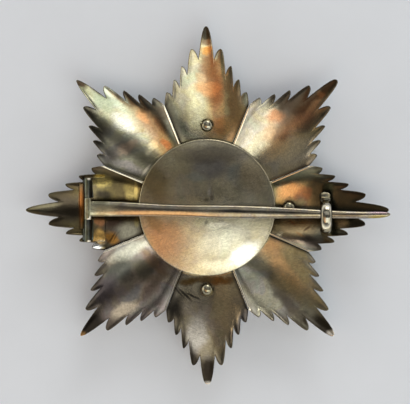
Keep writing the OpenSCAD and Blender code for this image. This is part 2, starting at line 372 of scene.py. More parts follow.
def row_places(inner, outer, slope, seam):
    """Places of a sheet's rows along one column, crowded at both of its edges."""
    length = outer - inner
    near = [min(p / math.sin(seam), length * 0.4 * p / RIM[-1]) for p in RIM]
    far = [min(p * min(math.hypot(1, slope), FLANK_SLOPE_MOST), length * 0.4 * p / RIM[-1]) for p in RIM]
    start, end = inner + near[-1], outer - far[-1]
    middle = [start + (end - start) * k / SHEET_ROWS for k in range(1, SHEET_ROWS)]
    return [inner + p for p in near] + middle + [outer - p for p in reversed(far)]


def edge_distance(points, outline, closed=True):
    """Distance of each point from an outline."""
    a = outline if closed else outline[:-1]
    b = np.roll(outline, -1, axis=0)[:len(a)]
    ab = b - a
    length2 = np.maximum((ab ** 2).sum(1), 1e-12)
    best = np.full(len(points), 1e9)
    for start, step, square in zip(a, ab, length2):
        t = np.clip(((points - start) @ step) / square, 0, 1)
        best = np.minimum(best, ((points - start - t[:, None] * step) ** 2).sum(1))
    return np.sqrt(best)


def ray_sheet(key):
    """One serrated ray: a trough that rises to its tip, with filed edges and a seam at each side, which
    is lifted over its neighbour or pressed under it."""
    k = RING_OF_RAYS.index(key)
    direction, reach, tooth_reach, left_lies, right_lies = RAYS[key]
    left_seam = half_angle(k) + math.radians(SEAM_SHIFT * left_lies)
    right_seam = half_angle(k - 1) + math.radians(SEAM_SHIFT * right_lies)
    left_edge = half_edge(reach, tooth_reach, left_seam, TIP_FULL[key])
    right_edge = half_edge(reach, tooth_reach, right_seam, TIP_FULL[key])
    columns = [(u, -v, slope, right_seam, right_lies) for u, v, slope in reversed(right_edge[1:])]
    columns += [(u, v, slope, left_seam, left_lies) for u, v, slope in left_edge]

    places, inner_edge = [], []
    for u, v, slope, seam, _ in columns:
        inner = max(ROOT_R, (abs(v) * math.cos(seam) + SEAM_GAP) / math.sin(seam))
        inner_edge.append((inner, v))
        places.append(row_places(inner, u, slope, seam))
    u = np.array(places)
    v = np.array([[c[1]] for c in columns]) + 0 * u
    seam = np.array([[c[3]] for c in columns])
    side = np.array([[OVER_LIFT if c[4] > 0 else -UNDER_DROP] for c in columns])
    seam_distance = u * np.sin(seam) - np.abs(v) * np.cos(seam)
    z = ROOT_Z + rise(u) + trough(v) + side * np.maximum(0, 1 - seam_distance / LIFT_W) ** 2

    outline = np.array([(c[0], c[1]) for c in columns] + inner_edge[::-1])
    distance = edge_distance(np.stack([u.ravel(), v.ravel()], 1), outline).reshape(u.shape)
    half_t = SHEET_T / 2 * np.sqrt(1 - (1 - np.minimum(1, distance / RIM_W)) ** 2)
    # The edge that lies over a neighbour is filed to a wider slope
    over = np.array([[c[4] > 0] for c in columns]) & (seam_distance < FILED_BAND)
    slope_d = np.maximum(seam_distance - SEAM_GAP, 0)
    filed = SHEET_T / 2 * (1 - (1 - np.minimum(1, slope_d / SEAM_RIM_W)) ** 1.5)
    half_t = np.where(over, np.minimum(half_t, filed), half_t)
    toothed = np.array([(c[0], c[1]) for c in columns])
    near_teeth = edge_distance(np.stack([u.ravel(), v.ravel()], 1), toothed, closed=False).reshape(u.shape)
    z += DISH_RAISE * np.maximum(0, 1 - near_teeth / DISH_W) ** 2
    turn = math.radians(direction)
    x, y = from_ray(u, v, turn)
    waves = np.array([[hammered(a, b, 8, 2.6, k, k + 20) for a, b in zip(*row)] for row in zip(x, y)])
    z += waves - SHEET_T / 2
    rings = []
    for i in range(len(columns)):
        top = list(zip(x[i], y[i], z[i] + half_t[i]))
        under = list(zip(x[i], y[i], z[i] - half_t[i]))
        rings.append(top + under[::-1])
    piece = swept("sheet_ray_" + key, rings)

    # What the finish follows: painted shade along the edges, the painted seam shadow and highlight, and the
    # darker teeth
    local = to_ray(piece, turn)
    note(piece, "rim", edge_distance(local, outline))
    along, across = local[:, 0], local[:, 1]
    left = across > 0
    seam = np.where(left, left_seam, right_seam)
    over = np.where(left, left_lies, right_lies) > 0
    gap = along * np.sin(seam) - np.abs(across) * np.cos(seam)
    # Above 0 for the painted highlight on the filed slope of an edge that lies over its neighbour, below 0
    # for the painted shadow line beside one that lies under it
    shine = np.where(left, *SEAM_HIGHLIGHT_STRENGTH.get(key, (1.0, 1.0)))
    rubbed = shine * np.clip((SHINE_W - gap) / SHINE_FADE, 0, 1)
    note(piece, "seam", np.where(over, rubbed, -np.clip((LINE_W - gap) / LINE_FADE, 0, 1)))
    # From 0 on the line of the valleys to 1 on the ends of the teeth, by how dark that side's teeth are
    share = np.abs(np.arctan2(across, along)) / seam
    valley_a = [0] + [t[1] for t in TEETH] + [SEAM_VALLEY[1]]
    valley_r = [TEETH[0][0] + TIP_VALLEY_OUT] + [t[0] for t in TEETH] + [SEAM_VALLEY[0]]
    beyond = np.hypot(along, across) / STAR_R - np.interp(share, valley_a, valley_r)
    dark_left, dark_right, dark_tip = TOOTH_DARKNESS[key]
    dark = np.where(share < TEETH[0][1], dark_tip, np.where(left, dark_left, dark_right))
    note(piece, "tooth", np.clip(beyond / TOOTH_FADE + TOOTH_START, 0, 1) * dark)
    return smooth(piece, 60)


# Pin and catch

def between(rows, place):
    """A smooth curve through rows of values, read at one place."""
    k = max(i for i in range(len(rows) - 1) if rows[i][0] <= place)
    a, b = rows[k], rows[k + 1]
    before, after = rows[max(k - 1, 0)], rows[min(k + 2, len(rows) - 1)]
    span = b[0] - a[0]
    t = (place - a[0]) / span
    out = []
    for c in range(1, len(a)):
        m0 = (b[c] - before[c]) / max(b[0] - before[0], 1e-9) * span
        m1 = (after[c] - a[c]) / max(after[0] - a[0], 1e-9) * span
        out.append((2 * t ** 3 - 3 * t ** 2 + 1) * a[c] + (t ** 3 - 2 * t ** 2 + t) * m0
                   + (3 * t ** 2 - 2 * t ** 3) * b[c] + (t ** 3 - t ** 2) * m1)
    return out


def signed_power(value, power):
    return math.copysign(abs(value) ** power, value)


def pin_blade():
    """The long blade: flat and wide at the knuckle, lens-shaped along its length, with a blunt tip."""
    even = {0.02 + 0.98 * k / PIN_STATIONS for k in range(PIN_STATIONS)}
    stations = sorted({row[0] for row in PIN} | even | {0.995, 0.998})
    rings = []
    for place in stations:
        middle, width, thick, square = between(PIN, place)
        x = -HINGE_R + place * (HINGE_R + PIN_REACH)
        ring = []
        for k in range(PIN_AROUND):
            a = 2 * math.pi * k / PIN_AROUND
            across = width / 2 * signed_power(math.cos(a), 2 / square)
            up = thick / 2 * signed_power(math.sin(a), 2 / square)
            ring.append((x, middle + across, pin_z(x) + up))
        rings.append(ring)
    piece = capped("pin_blade", rings)
    # The root's sides are painted darker as shade: further along, the sides count as far from any edge
    along, across = points_of(piece)[:, 0] + HINGE_R, points_of(piece)[:, 1] - PIN_ROOT_Y
    note(piece, "rim", PIN_ROOT_HALF - np.abs(across) + np.maximum(0, along - PIN_ROOT_LEN) * 0.5)
    return smooth(piece, 50)


def arc(middle, radius, start, end, turn, steps):
    """Points of an arc in the catch's plane: y, z and heading."""
    points = []
    for k in range(steps + 1):
        h = math.radians(start + (end - start) * k / steps)
        points.append((middle[0] + turn * radius * math.sin(h), middle[1] - turn * radius * math.cos(h), h))
    return points


def strip_ring(x, y, z, h, wide, thick, oval):
    """A cut through the catch's strip: a half-round back on a flat, or nearer to an oval."""
    ring = []
    for k in range(40):
        a = 2 * math.pi * k / 40
        up = math.sin(a)
        if up > 0:
            round_back = BACK_RISE * up ** 0.85 - FLAT_DROP
        else:
            round_back = -FLAT_SWELL * abs(up) ** 0.4 - FLAT_DROP
        n = thick * (round_back * (1 - oval) + 0.5 * signed_power(up, 0.8) * oval)
        ring.append((x - wide / 2 * signed_power(math.cos(a), 0.9), y - n * math.sin(h), z + n * math.cos(h)))
    return ring


def catch_hook():
    """The hook: one strip with a half-round back, from its foot over the pin to its curled lip."""
    arch_z = pin_z(CATCH_X) + PIN_T_AT_CATCH / 2 + ARCH_CLEAR - CATCH_R + CATCH_T / 2
    reach = CATCH_R + LIP_R
    start = math.radians(LIP_START)
    lip = (ARCH_Y + reach * math.sin(start), arch_z + reach * math.cos(start))
    path = [(ARCH_Y - CATCH_R, arch_z - LEG_LEN * (1 - k / 6), math.pi / 2) for k in range(6)]
    path += arc((ARCH_Y, arch_z), CATCH_R, 90, 6 - LIP_START, -1, 44)
    path += arc(lip, LIP_R, -LIP_START, LIP_END, 1, 24)
    y, z, h = path[-1]
    path.append((y + LIP_LEN * math.cos(h), z + LIP_LEN * math.sin(h), h))
    rings = []
    for k, (y, z, h) in enumerate(path):
        narrow = max(0, (k - len(path) + LIP_STEPS) / LIP_STEPS)
        x = CATCH_X - CATCH_IN - LIP_IN * narrow
        rings.append(strip_ring(x, y, z, h, CATCH_W * (1 - LIP_NARROW * narrow), CATCH_T, narrow))
    for out, share in LIP_END_CUTS:
        wide = CATCH_W * (1 - LIP_NARROW - (1.2 - share) * 0.4)
        place = (CATCH_X - CATCH_IN - LIP_IN, y + out * math.cos(h), z + out * math.sin(h))
        rings.append(strip_ring(*place, h, wide, CATCH_T * share, 1))
    piece = capped("catch_hook", rings)
    # The rim note places the painted shade along the strip's edges
    note(piece, "rim", CATCH_W / 2 - np.abs(points_of(piece)[:, 0] - CATCH_X + CATCH_IN))
    return smooth(piece, 50)


# Hinge

def knuckle(name, ends):
    """A drawn tube round the wire, with filed ends."""
    low, high = ends
    bore = (BORE_R, (low + high) / 2)
    profile = rounded([bore, (BORE_R, low), (BARREL_R, low), (BARREL_R, high), (BORE_R, high), bore], 0.16, 4)
    piece = spun(name, profile, (-HINGE_R, 0, HINGE_Z), "Y", 48)
    return smooth(piece, 35)


def plate_top(along, across):
    """Height of the hinge plate's upper face; along is the distance from the axis towards the tip."""
    tilt = math.tan(HINGE_SLOPE) * along
    return RAY_Z + tilt + float(trough(across, TROUGH_R - PLATE_T)) / math.cos(HINGE_SLOPE)


def hinge_plate():
    """The plate that follows the west ray's trough, with filed edges and a tongue beyond the knuckles."""
    turn = math.radians(RAYS["w"][0])
    low, high = -PLATE_W / 2 - PLATE_SHIFT, PLATE_W / 2 - PLATE_SHIFT
    wide = PLATE_LEN / 2
    tongue = (TONGUE_Y - TONGUE_LEN / 2, TONGUE_Y + TONGUE_LEN / 2)
    steps = [(-wide, tongue[0], TONGUE_X), (*tongue, high), (tongue[1], wide, TONGUE_X)]
    columns = []
    for start, end, reach in steps:
        inner = [start + p for p in PLATE_RIM] + [start + (end - start) * k / 10 for k in range(2, 9)]
        columns += [(v, reach) for v in inner + [end - p for p in reversed(PLATE_RIM)]]
    # The tongue's corners are a little apart from the plate's edge, so that no two columns meet
    columns = [(v + COLUMN_APART * k, reach) for k, (v, reach) in enumerate(columns)]
    outline = np.array([(reach, v) for v, reach in columns] + [(low, v) for v, _ in reversed(columns)])
    rings = []
    for v, reach in columns:
        alongs = [low + p for p in PLATE_RIM] + [low + (reach - low) * k / 10 for k in range(1, 10)]
        alongs += [reach - p for p in reversed(PLATE_RIM)]
        inset = edge_distance(np.array([(u, v) for u in alongs]), outline)
        top, under = [], []
        for u, depth in zip(alongs, inset):
            soft = PLATE_ROUND if v > 0 else PLATE_FLUSH
            drop = soft * (1 - math.sqrt(1 - (1 - min(1, depth / soft)) ** 2))
            place = from_ray(HINGE_R + u, v, turn)
            z = plate_top(u, v)
            top.append((*place, z - drop))
            under.append((*place, z - PLATE_T - PLATE_SINK))
        rings.append(top + under[::-1])
    piece = capped("hinge_plate", rings)
    local = to_ray(piece, turn)
    outline[:, 0] += HINGE_R
    # Only the filed edges towards -Y take the painted shade along the edge
    note(piece, "rim", np.where(local[:, 1] > 0, edge_distance(local, outline), 1))
    return smooth(piece, 40)


def knuckle_web(name, ends):
    """Solder under a fixed knuckle, hollow at its sides, from the plate up to the barrel."""
    low, high = ends
    rings = []
    for k in range(25):
        y = low + (high - low) * k / 24
        base = plate_top(0, y) - 0.12
        top = HINGE_Z - 0.2
        ring = []
        for t in range(9):
            s = t / 8
            x = -SOLDER_FOOT + (SOLDER_FOOT - SOLDER_NECK) * math.sin(s * math.pi / 2)
            ring.append((x, base + (top - base) * (1 - math.cos(s * math.pi / 2))))
        ring += [(-x, z) for x, z in reversed(ring)]
        rings.append([(x - HINGE_R, y, z) for x, z in ring])
    return smooth(capped(name, rings), 40)


def hinge_rod():
    """The wire in the knuckles, which ends a little short of them."""
    low, high = FIXED_END_Y[0] + WIRE_SHORT, FIXED_END_Y[1] - WIRE_SHORT
    profile = rounded([(0, low), (WIRE_R, low), (WIRE_R, high), (0, high)], 0.2, 4)
    return smooth(spun("hinge_wire_rod", profile, (-HINGE_R, 0, HINGE_Z), "Y", 32), 35)


# Disc, nuts and front

def back_disc():
    """The domed disc, with a burnished rim and the soft waves of a raised dome."""
    dome_r = (DISC_R ** 2 + DISC_DOME ** 2) / (2 * DISC_DOME)
    top, under = [], []
    for k in range(31):
        r = (DISC_R - DISC_ROUND) * (k / 30)
        top.append((r, DISC_T + math.sqrt(dome_r ** 2 - r * r) - dome_r + DISC_DOME))
    for k in range(1, 9):
        a = math.pi / 2 * k / 8
        inward, down = DISC_ROUND * (1 - math.sin(a)), DISC_ROUND * (1 - math.cos(a))
        top.append((DISC_R - inward, DISC_T + DISC_LIP - down))
    for k in range(16):
        r = (DISC_R - DISC_INSET) * (1 - k / 15)
        under.append((r, math.sqrt((dome_r - DISC_T) ** 2 - r * r) - dome_r + DISC_T + DISC_DOME))
    piece = spun("domed_disc", top + under, (0, 0, DISC_Z), steps=160)
    for vertex in piece.data.vertices:
        x, y = vertex.co.x / MM, vertex.co.y / MM
        fade = min(1, max(0, (DISC_R - math.hypot(x, y)) / 3))
        vertex.co.z += MM * fade * hammered(x, y, 11, 4, 3, 5)
    return smooth(piece, 50)


def domed_nut():
    """A turned nut with a domed head and two notches for a spanner, over the star's centre."""
    radii = [NUT_R * k / 16 for k in range(17)]
    head = [(r, NUT_H - NUT_DOME_R + math.sqrt(NUT_DOME_R ** 2 - r ** 2)) for r in radii]
    profile = head[:-1] + [(NUT_R - 0.015, head[-1][1] + 0.03), (NUT_R, head[-1][1] - 0.05)]
    profile += [(NUT_R, 0.12), (NUT_R - 0.1, 0.0), (0, 0.0)]
    nut = spun("domed_nut", profile, (0, 0, 0), steps=64)
    for side in (-1, 1):
        bpy.ops.object.select_all(action="DESELECT")
        bpy.ops.mesh.primitive_cylinder_add(vertices=24, radius=NOTCH_W / 2 * MM, depth=4 * MM,
                                            location=(side * (NUT_R - NOTCH_DEEP + NOTCH_W / 2) * MM, 0, 0))
        drill = bpy.context.object
        cut = nut.modifiers.new("notch", "BOOLEAN")
        cut.operation, cut.solver, cut.object = "DIFFERENCE", "EXACT", drill
        select_only(nut)
        bpy.ops.object.modifier_apply(modifier=cut.name)
        bpy.data.objects.remove(drill)
    soften = nut.modifiers.new("soften", "BEVEL")
    soften.width, soften.segments, soften.limit_method = NUT_BEVEL * MM, 2, "ANGLE"
    soften.angle_limit = math.radians(45)
    select_only(nut)
    bpy.ops.object.modifier_apply(modifier=soften.name)
    close_up(nut)
    return nut


def nut_at(pattern, key):
    """A copy of the nut on its post, with its notches turned as the spanner left them."""
    nut = pattern.copy()
    nut.data = pattern.data.copy()
    nut.name = "domed_nut_" + key
    bpy.context.scene.collection.objects.link(nut)
    place = Vector((*polar(POST_RING_R, math.radians(POST_ANGLES[key])), NUT_Z)) * MM
    turn = Matrix.Rotation(math.radians(NOTCH_TURNS[key]), 4, "Z")
    # The rim note places the painted shade at the nut's edge
    note(nut, "rim", NUT_R - np.hypot(*points_of(nut)[:, :2].T))
    nut.data.transform(Matrix.Translation(place) @ turn)
    return smooth(nut, 40)


def front_disc():
    """The hidden centrepiece of the front, plain, with a groove inside its flat rim."""
    rim, groove, deep = 1.8, 1.2, 0.8
    r = MEDALLION_R
    corners = [(0, 0), (r - rim - groove, 0), (r - rim - groove, deep), (r - rim, deep), (r - rim, 0),
               (r, 0), (r, MEDALLION_T), (0, MEDALLION_T)]
    return smooth(spun("front_disc", rounded(corners, 0.3, 4), (0, 0, 0), steps=128), 40)


def post(key):
    """A plain rod from the medallion's back up into its nut."""
    middle = (*polar(POST_RING_R, math.radians(POST_ANGLES[key])), 0)
    low, high = MEDALLION_T - POST_SINK, NUT_Z + NUT_H / 2 - GAP
    profile = rounded([(0, low), (POST_R, low), (POST_R, high), (0, high)], 0.15)
    return smooth(spun("post_" + key, profile, middle, steps=32), 35)


# Finishes

def linear(code):
    """An sRGB hex colour as linear RGBA."""
    parts = [int(code[k:k + 2], 16) / 255 for k in (1, 3, 5)]
    return [c / 12.92 if c <= 0.04045 else ((c + 0.055) / 1.055) ** 2.4 for c in parts] + [1]


def add(tree, kind, inputs=None, **settings):
    """Adds a node, sets it, and fills or links its inputs, which are named or counted."""
    node = tree.nodes.new("ShaderNode" + kind)
    for name, value in settings.items():
        setattr(node, name, value)
    for key, value in (inputs or {}).items():
        if isinstance(value, bpy.types.NodeSocket):
            tree.links.new(value, node.inputs[key])
        else:
            node.inputs[key].default_value = value
    return node


# Inputs of a colour mix by their number: factor, first and second colour
FACTOR, FIRST, SECOND = 0, 6, 7
# Inputs of a range by their number
VALUE, LOW, HIGH, TO_LOW, TO_HIGH = range(5)
# How far the clouds shift the border of a wide patch and of a narrow mark
WIDE_SHIFT = 3.5
NARROW_SHIFT = 0.5
# Sizes of the specks of rubbed tarnish, and of rubbing marks, which are coarser than the real ones so that
# they show
SPECK = 0.55
MARK = 0.25
MARK_STRETCH = 0.09
RELIEF = 0.03

# Thin tarnish that turns bluish or violet in places, and how much of it
HAZE = "#8b8a92"
HAZE_SHARE = 0.25
# The colours of a thin film of tarnish, from thin to thick: straw, rose, violet and sea green
FILM = ((0.34, "#ffffff"), (0.43, "#fdf8dc"), (0.5, "#f5e9d2"), (0.56, "#ebe2ea"), (0.64, "#dfece8"),
        (0.72, "#f0f4de"))
# Dark of the teeth, the painted shadow line beside a seam, and the painted highlight on a seam's filed slope
TOOTH_DARK = "#3b352d"
SEAM_SHADOW = "#2a251f"
SEAM_HIGHLIGHT = "#efe8d6"


def patched(tree, colour, border, x, y, length, width, angle, overlay, strength):
    """Lays one patch over a colour: full in its middle, and faded out past its edge. Patches serve as stains,
    as painted highlights and as painted shade.
    """
    near = add(tree, "Mapping", {"Vector": border, "Location": (x * MM, y * MM, 0),
                                 "Rotation": (0, 0, math.radians(angle)),
                                 "Scale": (length * MM, width * MM, 1)}, vector_type="TEXTURE")
    far = add(tree, "VectorMath", {0: near.outputs[0]}, operation="LENGTH")
    fade = add(tree, "MapRange", {VALUE: far.outputs["Value"], LOW: 1.2, HIGH: 0.4, TO_HIGH: strength},
               interpolation_type="SMOOTHSTEP")
    return add(tree, "Mix", {FACTOR: fade.outputs[0], FIRST: colour, SECOND: linear(overlay)},
               data_type="RGBA").outputs[2]


def worn_silver(name, light, warm, dark, cloud_mm=9, dark_share=0.4, rough=0.3, scratch_angle=0.0,
                scratch=0.3, patches=(), edge=None, sheet=False, seed=0.0, bump=0.2, film_share=0.55,
                tips=()):
    """Silver as it comes from the hammer, file or die, with years of tarnish in soft clouds, darker
    specks, fine rubbing marks along one direction, and listed patches.
    A patch is x, y, length, width in millimetres, angle, colour and strength; patches serve as stains, as
    painted highlights and as painted shade. The tips are patches too, laid over the darkened teeth, and some
    are painted highlights.
    An edge is the width, colour and strength of the painted shade along a piece's edge."""
    material = bpy.data.materials.new(name)
    material.use_nodes = True
    tree = material.node_tree
    shader = tree.nodes["Principled BSDF"]
    place = add(tree, "TexCoord").outputs["Object"]
    shifted = add(tree, "Mapping", {"Vector": place, "Location": (seed, seed * 0.7, 0)}).outputs[0]
    clouds = add(tree, "TexNoise", {"Vector": shifted, "Scale": 1 / (cloud_mm * MM), "Detail": 5,
                                    "Roughness": 0.55, "Distortion": 0.6})
    tones = add(tree, "TexNoise", {"Vector": shifted, "Scale": 1 / (cloud_mm * 0.45 * MM), "Detail": 6,
                                   "Roughness": 0.62})
    specks = add(tree, "TexNoise", {"Vector": shifted, "Scale": 1 / (SPECK * MM), "Detail": 3,
                                    "Roughness": 0.7})
    back = (0, 0, math.radians(-scratch_angle))
    turned = add(tree, "Mapping", {"Vector": place, "Rotation": back}).outputs[0]
    drawn = add(tree, "Mapping", {"Vector": turned, "Scale": (MARK_STRETCH, 1.0, 1.0)}).outputs[0]
    marks = add(tree, "TexNoise", {"Vector": drawn, "Scale": 1 / (MARK * MM), "Detail": 4, "Roughness": 0.75})

    share = add(tree, "MapRange", {VALUE: clouds.outputs[0], LOW: 0.36, HIGH: 0.64})
    colour = add(tree, "Mix", {FACTOR: share.outputs[0], FIRST: linear(light), SECOND: linear(warm)},
                 data_type="RGBA").outputs[2]
    share = add(tree, "MapRange", {VALUE: tones.outputs[0], LOW: 0.46, HIGH: 0.7, TO_HIGH: dark_share})
    colour = add(tree, "Mix", {FACTOR: share.outputs[0], FIRST: colour, SECOND: linear(dark)},
                 data_type="RGBA").outputs[2]
    haze = add(tree, "TexNoise", {"Vector": shifted, "Scale": 1 / (cloud_mm * 1.3 * MM), "Detail": 2,
                                  "W": 3.1 + seed, "Roughness": 0.5}, noise_dimensions="4D")
    share = add(tree, "MapRange", {VALUE: haze.outputs[0], LOW: 0.48, HIGH: 0.66, TO_HIGH: HAZE_SHARE})
    colour = add(tree, "Mix", {FACTOR: share.outputs[0], FIRST: colour, SECOND: linear(HAZE)},
                 data_type="RGBA").outputs[2]
    film = add(tree, "TexNoise", {"Vector": shifted, "Scale": 1 / (cloud_mm * 0.7 * MM), "Detail": 3,
                                  "W": 7.7 + seed, "Roughness": 0.5, "Distortion": 0.8},
               noise_dimensions="4D")
    order = add(tree, "ValToRGB", {0: film.outputs[0]})
    stops = order.color_ramp.elements
    while len(stops) < len(FILM):
        stops.new(0.5)
    for stop, (position, code) in zip(stops, FILM):
        stop.position, stop.color = position, linear(code)
    colour = add(tree, "Mix", {FACTOR: film_share, FIRST: colour, SECOND: order.outputs[0]},
                 data_type="RGBA", blend_type="MULTIPLY").outputs[2]
    # The borders of wide patches follow the clouds, and narrow marks keep their shape
    wobble = add(tree, "VectorMath", {0: tones.outputs[1], 1: (0.5, 0.5, 0.5)}, operation="SUBTRACT")
    borders = []
    for shift in (WIDE_SHIFT * MM, NARROW_SHIFT * MM):
        moved = add(tree, "VectorMath", {0: wobble.outputs[0], 1: (shift, shift, 0)}, operation="MULTIPLY")
        borders.append(add(tree, "VectorMath", {0: place, 1: moved.outputs[0]}, operation="ADD").outputs[0])
    for patch in patches:
        colour = patched(tree, colour, borders[min(patch[2:4]) < 1], *patch)
    shade = add(tree, "MapRange", {VALUE: specks.outputs[0], LOW: 0.3, HIGH: 0.7,
                                   TO_LOW: 0.84, TO_HIGH: 1.14})
    colour = add(tree, "VectorMath", {0: colour, 1: shade.outputs[0]}, operation="MULTIPLY").outputs[0]
    shade = add(tree, "MapRange", {VALUE: marks.outputs[0], LOW: 0.3, HIGH: 0.7,
                                   TO_LOW: 1 - 0.5 * scratch, TO_HIGH: 1 + 0.4 * scratch})
    colour = add(tree, "VectorMath", {0: colour, 1: shade.outputs[0]}, operation="MULTIPLY").outputs[0]
    # Painted shade along the piece's edge, read from its rim note
    if edge:
        width, overlay, strength = edge
        rim = add(tree, "Attribute", attribute_name="rim").outputs["Fac"]
        share = add(tree, "MapRange", {VALUE: rim, LOW: width, HIGH: width * 0.3, TO_HIGH: strength})
        colour = add(tree, "Mix", {FACTOR: share.outputs[0], FIRST: colour, SECOND: linear(overlay)},
                     data_type="RGBA").outputs[2]
    if sheet:
        # Where a neighbour lies over the sheet is a painted shadow line, and where the sheet lies over one is
        # a painted highlight on its filed slope
        tooth = add(tree, "Attribute", attribute_name="tooth").outputs["Fac"]
        colour = add(tree, "Mix", {FACTOR: tooth, FIRST: colour, SECOND: linear(TOOTH_DARK)},
                     data_type="RGBA").outputs[2]
        seam = add(tree, "Attribute", attribute_name="seam").outputs["Fac"]
        share = add(tree, "MapRange", {VALUE: seam, LOW: 0, HIGH: -1, TO_HIGH: 0.85})
        colour = add(tree, "Mix", {FACTOR: share.outputs[0], FIRST: colour, SECOND: linear(SEAM_SHADOW)},
                     data_type="RGBA").outputs[2]
        colour = add(tree, "Mix", {FACTOR: seam, FIRST: colour, SECOND: linear(SEAM_HIGHLIGHT)},
                     data_type="RGBA", clamp_factor=True).outputs[2]
    for patch in tips:
        colour = patched(tree, colour, borders[1], *patch)
    tree.links.new(colour, shader.inputs["Base Color"])
    shader.inputs["Metallic"].default_value = 1.0
    gloss = add(tree, "MapRange", {VALUE: tones.outputs[0], LOW: 0.3, HIGH: 0.7,
                                   TO_LOW: rough * 0.82, TO_HIGH: rough * 1.25})
    tree.links.new(gloss.outputs[0], shader.inputs["Roughness"])
    height = add(tree, "Math", {0: marks.outputs[0], 1: scratch, 2: specks.outputs[0]},
                 operation="MULTIPLY_ADD")
    relief = add(tree, "Bump", {"Strength": bump, "Distance": RELIEF * MM, "Height": height.outputs[0]})
    tree.links.new(relief.outputs[0], shader.inputs["Normal"])
    return material


def finish_piece(piece, material, body, node):
    """Gives a piece its finish, the body that it rides on, and the node that it replaces."""
    piece.data.materials.clear()
    piece.data.materials.append(material)
    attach(piece, body)
    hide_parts(node)
